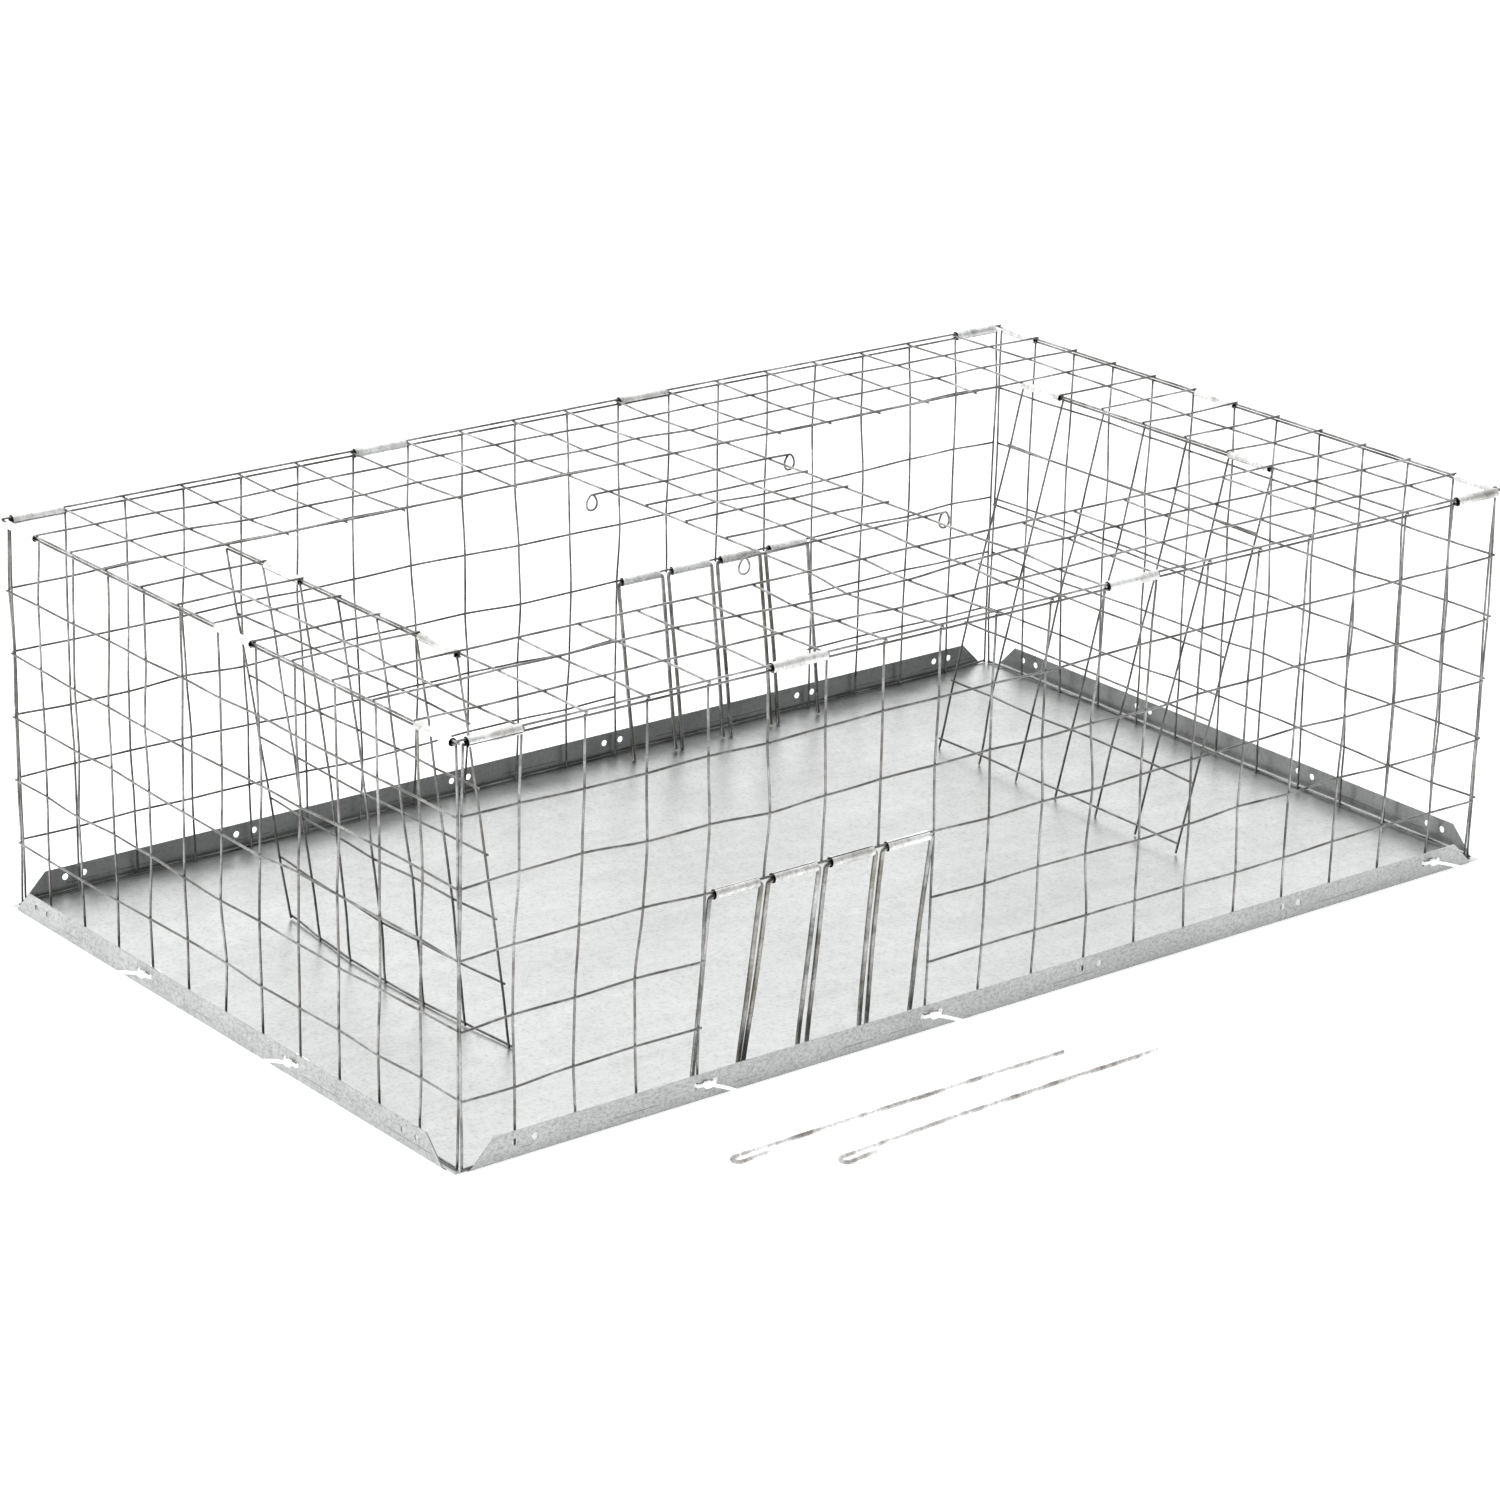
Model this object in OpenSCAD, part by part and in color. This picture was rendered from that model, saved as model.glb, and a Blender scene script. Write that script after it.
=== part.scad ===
// Live catch bird trap: a sheet-steel tray, a welded-mesh cage with one-way bob
// doors front and back, two drop doors in the top, and the rods that lock them.
// Origin: middle of the tray's underside. +X runs along the long side and
// +Y from the front wall to the back wall.

/* [Cage] */
// Length of the cage between its end walls' wires (mm)
cage_l = 950; // [760:5:1200]
// Width of the cage between its long walls' wires (mm)
cage_w = 570; // [460:5:720]
// Height of the trap to the top panel's upper wires (mm)
trap_h = 300; // [240:5:380]

/* [Mesh] */
// Diameter of the mesh wire (mm)
mesh_wire_d = 1.8; // [1.4:0.1:2.4]
// How far two crossing wires sink into each other at a weld (mm)
weld_set = 0.3; // [0.2:0.05:0.4]
// How far a cut wire stands past the last wire it is welded to (mm)
wire_stub = 1.5; // [0.5:0.1:2.5]
// How far the long walls' end wires stay inside the end walls (mm)
corner_gap = 4.5; // [3.5:0.1:6]

/* [Tray] */
// Thickness of the tray sheet (mm)
sheet_t = 0.8; // [0.5:0.1:1.5]
// Height of the tray's turned-up flanges (mm)
flange_h = 20; // [16:1:30]
// Inside radius of the flange bend (mm)
bend_r = 1.2; // [0.6:0.1:2]
// Gap between an end wall's wires and its flange (mm)
end_gap = 5; // [2:0.5:8]
// Gap between a long wall's wires and its flange (mm)
side_gap = 1.6; // [1:0.1:4]
// Distance from a tray corner to the foot of the flange beside it (mm)
flange_inset = 12; // [8:1:20]
// Diameter of the tie holes in the flanges (mm)
tie_hole_d = 5; // [4.2:0.1:6]
// Distance between the two holes of one pair (mm)
tie_hole_spacing = 16; // [14:1:20]

/* [Bob doors] */
// Diameter of the bob wire (mm)
bob_wire_d = 3.4; // [2.6:0.1:4]
// Free space between the legs of neighbouring bobs (mm)
bob_leg_gap = 2.6; // [2.2:0.1:6]
// Bend radius of a bob's corners, to the middle of the wire (mm)
bob_bend_r = 3; // [2.4:0.1:6]
// Lean of a bob that rests on the tray, from upright (degrees)
bob_lean = 8.5; // [4:0.5:15]

/* [Drop doors] */
// How much shorter a drop door's mesh is than its opening (mm)
door_slack = 3; // [0:0.5:6]
// Length of the left door's wires past its last cross wire (mm)
left_door_tail = 1; // [1:0.5:12]
// Length of the right door's wires past its last cross wire (mm)
right_door_tail = 8; // [1:0.5:12]

/* [Sleeves] */
// Thickness of the rolled sleeves' sheet (mm)
sleeve_t = 0.6; // [0.4:0.1:1]
// Free space between two wires that share a sleeve (mm)
sleeve_wire_gap = 0.5; // [0.4:0.1:0.8]
// Free space between a sleeve's bore and the wires in it (mm)
sleeve_play = 0.3; // [0.2:0.05:0.5]
// Free space between a sleeve's end and the next crossing wire (mm)
sleeve_end_gap = 0.6; // [0.4:0.1:2]

/* [Lock rods] */
// Diameter of a lock rod (mm)
rod_d = 3; // [2:0.1:4]
// Length of a lock rod's straight run (mm)
rod_l = 290; // [230:5:350]
// Radius of the turned-back handle, to the middle of the wire (mm)
rod_hook_r = 4.5; // [3:0.5:8]
// Length of the handle's short leg (mm)
rod_hook_l = 24; // [10:1:40]
// Radius of the eyes that take a lock rod, to the middle of the wire (mm)
eye_r = 6; // [5:0.5:8]
// Distance of the eye wires from the mesh line beside them (mm)
eye_offset = 4; // [3:0.5:6]
// Distance from the mesh strip's edge to the middle of an eye (mm)
eye_reach = 18; // [14:1:24]

/* [Cable ties] */
// Width of a tie's strap (mm)
strap_w = 2.5; // [2:0.1:3.5]
// Thickness of a tie's strap (mm)
strap_t = 1.1; // [0.8:0.1:1.4]
// Length of a tie's loose tail (mm)
tie_tail_l = 32; // [15:1:45]
// How far the front ties' tails point sideways (degrees)
front_tail_turn = 40; // [0:5:60]
// How far the left ties' tails point sideways (degrees)
left_tail_turn = 60; // [0:5:60]

/* [Hidden] */
$fn = 24;
arc_fn = 48;
sleeve_fn = 40;
past = 1;      // how far a cutter reaches past the faces it cuts

// Mesh cells along each edge, and the cells that the openings take.
cells_l = 19;
cells_w = 12;
cells_h = 6;
bob_count = 4;
bob_first = 4;          // first bob cell in a long wall, counted from its left
bob_rows = 3;           // height of the bob opening, in cells
door_first = 2;         // first open cell from the end of the top panel
door_cells = 6;         // cells along the opening
door_side = 3;          // cells between the opening and the long walls
// Cells that hold a hinge sleeve, counted from -X or from -Y.
front_sleeve_cells = [0, 5, 11, 18];
back_sleeve_cells = [0, 6, 11, 18];
left_sleeve_cells = [0, 5, 11];
right_sleeve_cells = [0, 6, 11];
left_door_sleeve_cells = [3, 7];
right_door_sleeve_cells = [3, 8];
// Mesh lines whose wire has a pair of tie holes beside it, and those with a tie.
long_tie_lines = [1, 4, 8, 11, 15, 18];
end_tie_lines = [1, 4, 8, 11];
front_tie_lines = [4, 8, 18];
left_tie_lines = [4, 8];

// Mesh layers. Each panel has two layers of wires, welded where they cross.
wire_r = mesh_wire_d / 2;
layer = mesh_wire_d - weld_set;
floor_gap = 0.1;
top_x_z = trap_h - wire_r;                // top panel, wires along X
top_y_z = top_x_z - layer;                // top panel, wires along Y, below them
hung_z = top_y_z - mesh_wire_d - sleeve_wire_gap;  // wires that hang in a sleeve
wall_low_z = sheet_t + floor_gap + wire_r;
row_h = (hung_z - wall_low_z) / cells_h;
inner_y = cage_w / 2 - layer;             // long walls' upright wires
inner_x = cage_l / 2 - layer;             // end walls' upright wires
function line_x(k) = -cage_l / 2 + k * cage_l / cells_l;
function line_y(j) = -cage_w / 2 + j * cage_w / cells_w;
function row_z(i) = wall_low_z + i * row_h;
// The outermost upright wires stand in from the corners.
function post_x(k) = k == 0 ? line_x(0) + corner_gap
    : k == cells_l ? line_x(cells_l) - corner_gap : line_x(k);
function post_y(j) = j == 0 ? line_y(0) + corner_gap
    : j == cells_w ? line_y(cells_w) - corner_gap : line_y(j);

// Openings in the top panel.
door_lo = door_first;
door_hi = door_first + door_cells;
side_lo = door_side;
side_hi = cells_w - door_side;
function in_door_x(k) = (k > door_lo && k < door_hi)
    || (k > cells_l - door_hi && k < cells_l - door_lo);
function in_door_y(j) = j > side_lo && j < side_hi;
eye_lines = [side_lo + 1, side_hi - 1];   // mesh lines that the eye wires replace

// Drop doors.
door_hinge_x = -line_x(door_lo);
door_row = cage_l / cells_l - door_slack / door_cells;
door_drop = hung_z - sheet_t - floor_gap;
function door_reach(tail) = door_cells * door_row + tail;
// A door that is longer than the height leans until the outer corner of its wires'
// ends rests on the tray. A shorter one hangs plumb.
door_foot = layer + wire_r;               // that corner's distance behind the hinge
function foot_reach(tail) = norm([door_reach(tail), door_foot]);
function door_lean(tail) = foot_reach(tail) > door_drop
    ? atan2(door_foot, door_reach(tail)) + acos(door_drop / foot_reach(tail)) : 0;

// Bobs.
bob_r = bob_wire_d / 2;
bob_half = (cage_l / cells_l - bob_leg_gap - bob_wire_d) / 2;  // middle to leg
bob_z = row_z(bob_rows) - wire_r - sleeve_wire_gap / 2 - bob_r;
bob_foot_gap = 0.3;
bob_leg_l = (bob_z - sheet_t - bob_foot_gap - bob_r * sin(bob_lean)) / cos(bob_lean);
function bob_x(i) = (line_x(bob_first + i) + line_x(bob_first + i + 1)) / 2;

// The long walls' wires stop at these places, at the sides of the bob opening.
bob_open_x = [line_x(bob_first) + wire_stub, line_x(bob_first + bob_count) - wire_stub];

// Sleeves.
bob_sleeve_r = (mesh_wire_d + sleeve_wire_gap / 2 + bob_wire_d) / 2 + sleeve_play;
bob_sleeve_z = row_z(bob_rows) + wire_r + sleeve_play - bob_sleeve_r;
function bore_r(z_top) = (z_top - hung_z) / 2 + wire_r + sleeve_play;

// Tray.
bend_out = bend_r + sheet_t;
tray_l = cage_l + mesh_wire_d + 2 * (end_gap + sheet_t);
tray_w = cage_w + mesh_wire_d + 2 * (side_gap + sheet_t);
tie_rise = 1;                             // holes above the free flange's middle
tie_z = (flange_h + wall_low_z) / 2 + tie_rise;

// Cable ties.
head_l = 5;
head_w = 4.6;
head_t = 3.6;
loop_play = 0.3;                          // free space inside a tie's loop
tail_steps = 8;
tail_drop = tie_z / 2;
tail_sweep = 2 * tail_drop / tie_tail_l * 180 / PI;
tail_bend_r = tie_tail_l * tie_tail_l / (2 * tail_drop);

// Eye wires and lock rods.
strip_x = line_x(door_hi);
eye_sweep = 345;                          // an eye stops just short of closing
// Where the two loose rods lie: distance in from the cage's left end, distance out
// from its front wall, and turn.
rod_in = [158, 215];
rod_out = [88, 130];
rod_turn = [0, 1.5];

bob_numbers = [for (i = [1:bob_count]) i];

// ---- Building blocks ----

// Round bars along each axis.
module bar_x(x0, x1, y, z, d = mesh_wire_d)
    translate([x0, y, z]) rotate([0, 90, 0]) cylinder(d = d, h = x1 - x0);

module bar_y(y0, y1, x, z, d = mesh_wire_d)
    translate([x, y0, z]) rotate([-90, 0, 0]) cylinder(d = d, h = y1 - y0);

module bar_z(z0, z1, x, y, d = mesh_wire_d)
    translate([x, y, z0]) cylinder(d = d, h = z1 - z0);

// An arc of round bar about +Z, from one angle over a sweep.
module bar_arc(r, d, from, sweep)
    rotate([0, 0, from]) rotate_extrude(angle = sweep, $fn = arc_fn)
        translate([r, 0]) circle(d = d);

// A rolled tube along X, centred on the origin in Y and Z.
module sleeve_x(x0, x1, bore)
    translate([x0, 0, 0]) rotate([0, 90, 0]) difference() {
        cylinder(r = bore + sleeve_t, h = x1 - x0, $fn = sleeve_fn);
        translate([0, 0, -past])
            cylinder(r = bore, h = x1 - x0 + 2 * past, $fn = sleeve_fn);
    }

// ---- Tray ----

// Section of a flange with its bend, rising from z = 0 at x = 0 (outer face).
module flange_section() {
    translate([0, bend_out]) square([sheet_t, flange_h - bend_out]);
    translate([bend_out, bend_out]) intersection() {
        difference() {
            circle(r = bend_out, $fn = sleeve_fn);
            circle(r = bend_r, $fn = sleeve_fn);
        }
        translate([-bend_out, -bend_out]) square(bend_out);
    }
}

// A flange along +X with its outer face at y = 0, its ends cut at 45 degrees.
module flange(length, hole_places) {
    cut = flange_h * sqrt(2) + 2 * past;
    difference() {
        rotate([90, 0, 90]) linear_extrude(length) flange_section();
        for (end = [0, 1]) translate([end * length, 0, 0]) mirror([end, 0, 0])
            translate([0, -past, 0]) rotate([0, 45, 0]) translate([-cut, 0, 0])
                cube([cut, bend_out + 2 * past, cut]);
        for (x = hole_places, side = [-1, 1])
            translate([x + side * tie_hole_spacing / 2, -past, tie_z])
                rotate([-90, 0, 0]) cylinder(d = tie_hole_d, h = sheet_t + 2 * past);
    }
}

module tray() color("gainsboro") {
    long = tray_l - 2 * flange_inset;
    short = tray_w - 2 * flange_inset;
    long_holes = [for (k = long_tie_lines) line_x(k) + long / 2];
    end_holes = [for (j = end_tie_lines) line_y(j) + short / 2];
    union() {
        // The floor stops where the bends start, and reaches out between them.
        translate([-tray_l / 2 + bend_out, -tray_w / 2 + bend_out, 0])
            cube([tray_l - 2 * bend_out, tray_w - 2 * bend_out, sheet_t]);
        for (turn = [0, 180]) rotate([0, 0, turn]) {
            translate([-long / 2, -tray_w / 2, 0]) flange(long, long_holes);
            translate([tray_l / 2, -short / 2, 0]) rotate([0, 0, 90])
                flange(short, end_holes);
        }
    }
}

// ---- Mesh panels ----

// The front wall is one welded mesh. It is made in four nodes that meet end to end
// around the bob opening, which has no mesh below the wire that carries the bobs.

// Wires of the front wall between two places, and its uprights from one line to another.
module wall_mesh(x0, x1, rows, lines, upright_low) color("silver") union() {
    for (i = rows) bar_x(x0, x1, -cage_w / 2, row_z(i));
    for (k = lines) bar_z(upright_low, hung_z + wire_r, post_x(k), -inner_y);
}

module wall_before_bobs() wall_mesh(post_x(0) - wire_stub, bob_open_x[0],
    [0:cells_h], [0:bob_first], row_z(0) - wire_r);

module wall_after_bobs() wall_mesh(bob_open_x[1], post_x(cells_l) + wire_stub,
    [0:cells_h], [bob_first + bob_count:cells_l], row_z(0) - wire_r);

module wall_above_bobs() wall_mesh(bob_open_x[0], bob_open_x[1], [bob_rows:cells_h],
    [bob_first + 1:bob_first + bob_count - 1], row_z(bob_rows) - wire_stub);

module wall_sill() color("silver")
    bar_x(bob_open_x[0], bob_open_x[1], -cage_w / 2, row_z(0));

// Left end wall, plain mesh.
module left_wall() union() {
    for (i = [0:cells_h])
        bar_y(post_y(0) - wire_stub, post_y(cells_w) + wire_stub, -cage_l / 2, row_z(i));
    for (j = [0:cells_w])
        bar_z(row_z(0) - wire_r, hung_z + wire_r, -inner_x, post_y(j));
}

module left_panel() color("silver") left_wall();

module right_panel() color("silver") rotate([0, 0, 180]) left_wall();

// Top panel: mesh with two door openings and a strip between them.
module top_panel() color("silver") {
    x_lo = line_x(0) - wire_stub;
    x_hi = line_x(cells_l) + wire_stub;
    y_lo = line_y(0) - wire_stub;
    y_hi = line_y(cells_w) + wire_stub;
    hole_x = [line_x(door_lo) + wire_stub, line_x(door_hi) - wire_stub];
    hole_y = [line_y(side_lo) + wire_stub, line_y(side_hi) - wire_stub];
    union() {
        for (j = [0:cells_w])
            if (in_door_y(j)) {
                bar_x(x_lo, hole_x[0], line_y(j), top_x_z);
                bar_x(-hole_x[0], x_hi, line_y(j), top_x_z);
                if (j != eye_lines[0] && j != eye_lines[1])
                    bar_x(hole_x[1], -hole_x[1], line_y(j), top_x_z);
            } else bar_x(x_lo, x_hi, line_y(j), top_x_z);
        for (k = [0:cells_l])
            if (in_door_x(k)) {
                bar_y(y_lo, hole_y[0], line_x(k), top_y_z);
                bar_y(hole_y[1], y_hi, line_x(k), top_y_z);
            } else bar_y(y_lo, y_hi, line_x(k), top_y_z);
    }
}

// A wire across the top panel's strip, with an eye hanging down at each end.
module eye_wire(y) color("silver") {
    eye_x = -strip_x + eye_reach;
    union() {
        bar_x(-eye_x, eye_x, y, top_x_z);
        for (side = [0, 1]) mirror([side, 0, 0]) translate([eye_x, y, top_x_z - eye_r])
            rotate([90, 0, 0]) bar_arc(eye_r, mesh_wire_d, 90 - eye_sweep, eye_sweep);
    }
}

module front_eye_wire() eye_wire(line_y(eye_lines[0]) + eye_offset);

module back_eye_wire() eye_wire(line_y(eye_lines[1]) - eye_offset);

// A drop door, hung from the wire at x = 0, z = 0 and leaning towards +X.
module drop_door(tail) color("silver") rotate([0, -door_lean(tail), 0]) union() {
    y_lo = line_y(side_lo) - wire_stub;
    y_hi = line_y(side_hi) + wire_stub;
    for (i = [0:door_cells]) bar_y(y_lo, y_hi, 0, -i * door_row);
    for (j = [side_lo:side_hi]) bar_z(-door_reach(tail), wire_r, -layer, line_y(j));
}

module left_door() translate([-door_hinge_x, 0, hung_z]) drop_door(left_door_tail);

module right_door() translate([door_hinge_x, 0, hung_z]) mirror([1, 0, 0])
    drop_door(right_door_tail);

// ---- Bobs and their sleeves ----

// A bob hung from its axis along X at the origin, leaning towards +Y.
module bob() color("dimgray") rotate([bob_lean, 0, 0]) union() {
    straight = bob_half - bob_bend_r;
    bar_x(-straight, straight, 0, 0, bob_wire_d);
    for (side = [0, 1]) mirror([side, 0, 0]) {
        translate([straight, 0, -bob_bend_r]) rotate([90, 0, 0])
            bar_arc(bob_bend_r, bob_wire_d, 0, 90);
        bar_z(-bob_leg_l, -bob_bend_r, bob_half, 0, bob_wire_d);
    }
}

module front_bob(i) translate([bob_x(i), -cage_w / 2, bob_z]) bob();

// A sleeve over the mesh wire and the straight of the bob's bar.
module front_bob_sleeve(i) color("gainsboro")
    translate([bob_x(i), -cage_w / 2, bob_sleeve_z])
        sleeve_x(bob_bend_r - bob_half, bob_half - bob_bend_r, bob_sleeve_r);

// ---- Hinge sleeves ----

// A sleeve between the wires at posts k and k + 1 of the front edge.
module front_hinge_sleeve(k) color("gainsboro")
    translate([0, -cage_w / 2, (top_x_z + hung_z) / 2])
        sleeve_x(post_x(k) + wire_r + sleeve_end_gap,
            post_x(k + 1) - wire_r - sleeve_end_gap, bore_r(top_x_z));

// The same along Y, on a Y wire of the top panel at the given x.
module cross_hinge_sleeve(j, x) color("gainsboro")
    translate([x, 0, (top_y_z + hung_z) / 2]) rotate([0, 0, 90])
        sleeve_x(post_y(j) + wire_r + sleeve_end_gap,
            post_y(j + 1) - wire_r - sleeve_end_gap, bore_r(top_y_z));

// ---- Lock rods and cable ties ----

// A rod that lies along X from the origin, with its handle turned back.
module lock_rod() color("silver") union() {
    bar_x(0, rod_l, 0, rod_d / 2, rod_d);
    translate([0, -rod_hook_r, rod_d / 2]) bar_arc(rod_hook_r, rod_d, 90, 180);
    bar_x(0, rod_hook_l, -2 * rod_hook_r, rod_d / 2, rod_d);
}

module placed_rod(i)
    translate([rod_in[i] - cage_l / 2, -cage_w / 2 - rod_out[i], 0])
        rotate([0, 0, rod_turn[i]]) lock_rod();

// A tie about a wire at x = 0, through a flange whose outer face is at y = 0.
// The wire stands the given depth behind that face.
module cable_tie(wire_depth, tail_turn) color("white") {
    loop_x = tie_hole_spacing + strap_t;
    loop_lo = -strap_t - loop_play;
    loop_hi = wire_depth + wire_r + loop_play + strap_t;
    union() {
        translate([0, 0, -strap_w / 2]) linear_extrude(strap_w) difference() {
            translate([-loop_x / 2, loop_lo]) square([loop_x, loop_hi - loop_lo]);
            translate([strap_t - loop_x / 2, loop_lo + strap_t])
                square([loop_x - 2 * strap_t, loop_hi - loop_lo - 2 * strap_t]);
        }
        translate([-head_l / 2, loop_lo + strap_t - head_t, -head_w / 2])
            cube([head_l, head_t, head_w]);
        // The tail leaves the head outwards and to one side, and droops.
        translate([0, loop_lo + strap_t - head_t / 2, 0]) rotate([0, 0, tail_turn])
            translate([-strap_w / 2, 0, -tail_bend_r])
                rotate([90, 0, 90]) linear_extrude(strap_w) tie_tail_section();
    }
}

// The tail's curve: a band whose mid line starts level and turns down.
module tie_tail_section() {
    half_t = strap_t / 2;
    function arc(r, s) = r * [-sin(s * tail_sweep / tail_steps),
        cos(s * tail_sweep / tail_steps)];
    polygon(concat(
        [for (s = [0:tail_steps]) arc(tail_bend_r + half_t, s)],
        [for (s = [tail_steps:-1:0]) arc(tail_bend_r - half_t, s)]));
}

module front_cable_tie(k) translate([line_x(k), -tray_w / 2, tie_z])
    cable_tie(tray_w / 2 - inner_y, front_tail_turn);

module left_cable_tie(j) translate([-tray_l / 2, line_y(j), tie_z]) rotate([0, 0, -90])
    cable_tie(tray_l / 2 - inner_x, -left_tail_turn);

// ---- Nodes ----

tray();
wall_before_bobs();  // front_panel_left
wall_after_bobs();  // front_panel_right
wall_above_bobs();  // front_panel_above_bobs
wall_sill();  // front_sill_wire
rotate([0, 0, 180]) wall_after_bobs();  // back_panel_left
rotate([0, 0, 180]) wall_before_bobs();  // back_panel_right
rotate([0, 0, 180]) wall_above_bobs();  // back_panel_above_bobs
rotate([0, 0, 180]) wall_sill();  // back_sill_wire
left_panel();
right_panel();
top_panel();
front_eye_wire();
back_eye_wire();
left_door();
right_door();
placed_rod(0);  // lock_rod_1
placed_rod(1);  // lock_rod_2
for (n = bob_numbers) {
    front_bob(n - 1);
    rotate([0, 0, 180]) front_bob(bob_count - n);
    front_bob_sleeve(n - 1);
    rotate([0, 0, 180]) front_bob_sleeve(bob_count - n);
}
for (n = [1:len(front_sleeve_cells)])
    front_hinge_sleeve(front_sleeve_cells[n - 1]);
for (n = [1:len(back_sleeve_cells)])
    mirror([0, 1, 0]) front_hinge_sleeve(back_sleeve_cells[n - 1]);
for (n = [1:len(left_sleeve_cells)])
    cross_hinge_sleeve(left_sleeve_cells[n - 1], -cage_l / 2);
for (n = [1:len(right_sleeve_cells)])
    cross_hinge_sleeve(right_sleeve_cells[n - 1], cage_l / 2);
for (n = [1:len(left_door_sleeve_cells)])
    cross_hinge_sleeve(left_door_sleeve_cells[n - 1], -door_hinge_x);
for (n = [1:len(right_door_sleeve_cells)])
    cross_hinge_sleeve(right_door_sleeve_cells[n - 1], door_hinge_x);
for (n = [1:len(front_tie_lines)])
    front_cable_tie(front_tie_lines[n - 1]);
for (n = [1:len(left_tie_lines)])
    left_cable_tie(left_tie_lines[n - 1]);
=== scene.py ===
# Live catch bird trap: the visual model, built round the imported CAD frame.
# Shapes are worked out in millimetres, as in the CAD, and MM turns them to metres.
# The camera, the floor and the lights are placed in metres.
import bpy
import math
import numpy as np
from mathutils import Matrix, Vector


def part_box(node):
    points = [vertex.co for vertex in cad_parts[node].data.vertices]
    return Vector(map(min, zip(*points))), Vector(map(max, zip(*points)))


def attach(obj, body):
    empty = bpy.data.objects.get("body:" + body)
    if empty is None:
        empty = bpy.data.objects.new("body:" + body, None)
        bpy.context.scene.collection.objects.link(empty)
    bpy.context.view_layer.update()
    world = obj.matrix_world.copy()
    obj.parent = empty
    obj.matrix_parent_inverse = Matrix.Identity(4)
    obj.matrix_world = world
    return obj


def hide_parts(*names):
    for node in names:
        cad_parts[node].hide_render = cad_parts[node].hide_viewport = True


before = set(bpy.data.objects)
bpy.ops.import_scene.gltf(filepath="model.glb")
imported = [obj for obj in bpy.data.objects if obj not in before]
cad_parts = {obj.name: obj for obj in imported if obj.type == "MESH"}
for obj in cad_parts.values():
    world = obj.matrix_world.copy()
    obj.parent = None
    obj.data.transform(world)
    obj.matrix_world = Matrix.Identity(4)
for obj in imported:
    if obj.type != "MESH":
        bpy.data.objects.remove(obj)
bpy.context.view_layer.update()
MM = 0.001
RNG = np.random.default_rng(7305)

# ---------------------------------------------------------------- camera
LENS = 111.34  # focal length in mm, on a 36 mm sensor
CAMERA_AT = (-2.04158, -2.53612, 1.30166)
CAMERA_TURN = (69.835, -1.0569, -38.2803)  # degrees

cam_data = bpy.data.cameras.new("camera")
cam_data.sensor_width = 36
cam_data.lens = LENS
cam_data.clip_end = 60
camera = bpy.data.objects.new("camera", cam_data)
camera.location = CAMERA_AT
camera.rotation_euler = [math.radians(a) for a in CAMERA_TURN]
bpy.context.scene.collection.objects.link(camera)
bpy.context.scene.camera = camera
bpy.context.scene.view_settings.view_transform = "Standard"

# ---------------------------------------------------------------- CAD sizes
# The cage: x runs along it, y across it.
L, W = 950.0, 570.0  # over the middles of its outer wires
NX, NY, NZ = 19, 12, 6  # mesh cells along it, across it and up it
R = 0.9  # radius of the mesh wire
LAYER = 1.5  # between the middles of two wires that cross
STUB = 1.5  # how far a wire runs on past its last crossing
CORNER = 4.5  # how far the walls' outermost uprights stand in from the corners
TOP_X, TOP_Y = 299.1, 297.6  # height of the roof's wires along x and along y
HUNG, LOW = 295.3, 1.8  # height of the walls' top and bottom wires
ROW = (HUNG - LOW) / NZ

# The tray and the cable ties.
SHEET, FLOOR_GAP = 0.8, 0.1  # the tray's sheet, and the gap under what hangs over it
TRAY_L, TRAY_W = 963.4, 576.6  # over the flanges
TIE_Z, TIE_HOLES = 11.9, 16.0  # height of the tie holes, and the space between a pair
STRAP_W, STRAP_T, LOOP_PLAY = 2.5, 1.1, 0.3
HEAD_L, HEAD_W, HEAD_T = 5.0, 4.6, 3.6
TAIL_L = 32.0

# The bobs: the opening's first cell, its cells along and up, then the wire itself.
BOB_CELL, BOBS, BOB_ROWS = 4, 4, 3
BOB_R, BOB_BEND, BOB_LEAN = 1.7, 3.0, 8.5
BOB_LEG_GAP, BOB_FOOT_GAP, SLEEVE_GAP = 2.6, 0.3, 0.5
BOB_END = BOB_CELL + BOBS
BOB_Z = LOW + BOB_ROWS * ROW - R - SLEEVE_GAP / 2 - BOB_R
BOB_HALF = (L / NX - BOB_LEG_GAP - 2 * BOB_R) / 2

# The openings in the roof: the left one lies between these mesh lines along the cage,
# the right one mirrors it, and both lie between the same lines across it.
DOOR_X0, DOOR_X1, DOOR_Y0, DOOR_Y1 = 2, 8, 3, 9
DOOR_CELLS, DOOR_SLACK = 6, 3.0
DOOR_ROW = L / NX - DOOR_SLACK / DOOR_CELLS
DOOR_LINES = range(DOOR_Y0, DOOR_Y1 + 1)
EYE_LINES, EYE_SHIFT = (4, 8), 4.0  # the eye wires stand in for these lines' strip wires
EYE_X, EYE_R = 93.0, 6.0  # where the eyes are along the cage, and their radius

line_x = [-L / 2 + k * L / NX for k in range(NX + 1)]
line_y = [-W / 2 + j * W / NY for j in range(NY + 1)]
row_z = [LOW + i * ROW for i in range(NZ + 1)]


def posts(lines):
    """Where a wall's uprights stand: the outermost two are in from the corners."""
    return [lines[0] + CORNER, *lines[1:-1], lines[-1] - CORNER]


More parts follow.
